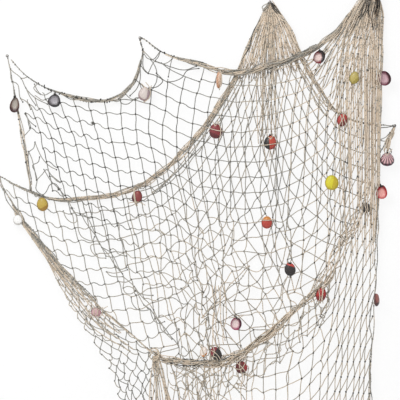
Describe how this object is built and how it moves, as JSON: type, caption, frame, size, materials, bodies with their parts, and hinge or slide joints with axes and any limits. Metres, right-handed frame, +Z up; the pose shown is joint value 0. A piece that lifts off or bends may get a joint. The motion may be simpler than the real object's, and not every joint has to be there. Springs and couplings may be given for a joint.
{
  "type": "decorative fishing net on nails",
  "caption": "Square-mesh cotton fishing net draped in loose swags from wall nails, its gathered edges rolled into ropes and its mesh dotted with coloured sea shells.",
  "frame": {"origin": "centre of the middle nail's back face, on the wall", "axes": "+Y into the wall, +Z up, +X to the right as seen from the room"},
  "size_m": [1.209, 0.065, 1.3624],
  "materials": {
    "twine": "undyed cotton twine, matt",
    "steel": "plain round-headed nail, satin",
    "shell_brown": "natural sea shell, lightly polished",
    "shell_dark": "natural sea shell, lightly polished",
    "shell_pink": "natural sea shell, lightly polished",
    "shell_orange": "natural sea shell, lightly polished",
    "shell_yellow": "natural sea shell, lightly polished",
    "shell_mauve": "natural sea shell, lightly polished",
    "shell_red": "natural sea shell, lightly polished",
    "shell_maroon": "natural sea shell, lightly polished",
    "shell_white": "natural sea shell, lightly polished"
  },
  "bodies": {
    "root": {"net": "twine", "nail_upper_left": "steel", "nail_upper_inner": "steel", "nail_middle": "steel", "nail_upper_right": "steel", "nail_lower_left": "steel", "nail_lower_right": "steel", "shell_brown_left": "shell_brown", "shell_charcoal": "shell_dark", "shell_pale_pink": "shell_pink", "shell_orange_edge": "shell_orange", "shell_pink_crescent": "shell_pink", "shell_olive": "shell_yellow", "shell_mauve": "shell_mauve", "shell_red_upper": "shell_red", "shell_maroon": "shell_maroon", "shell_black_orange": "shell_red", "shell_striped_fan": "shell_mauve", "shell_red_teardrop": "shell_red", "shell_yellow": "shell_yellow", "shell_dark_red": "shell_maroon", "shell_gold": "shell_yellow", "shell_white": "shell_white", "shell_red_orange": "shell_red", "shell_black_red": "shell_dark", "shell_red_lower": "shell_red", "shell_black_small": "shell_dark", "shell_maroon_edge": "shell_maroon", "shell_magenta_ring": "shell_mauve", "shell_dusty_rose": "shell_pink", "shell_black_maroon": "shell_dark", "shell_red_dark": "shell_maroon", "shell_orange_small": "shell_orange"}
  },
  "joints": []
}
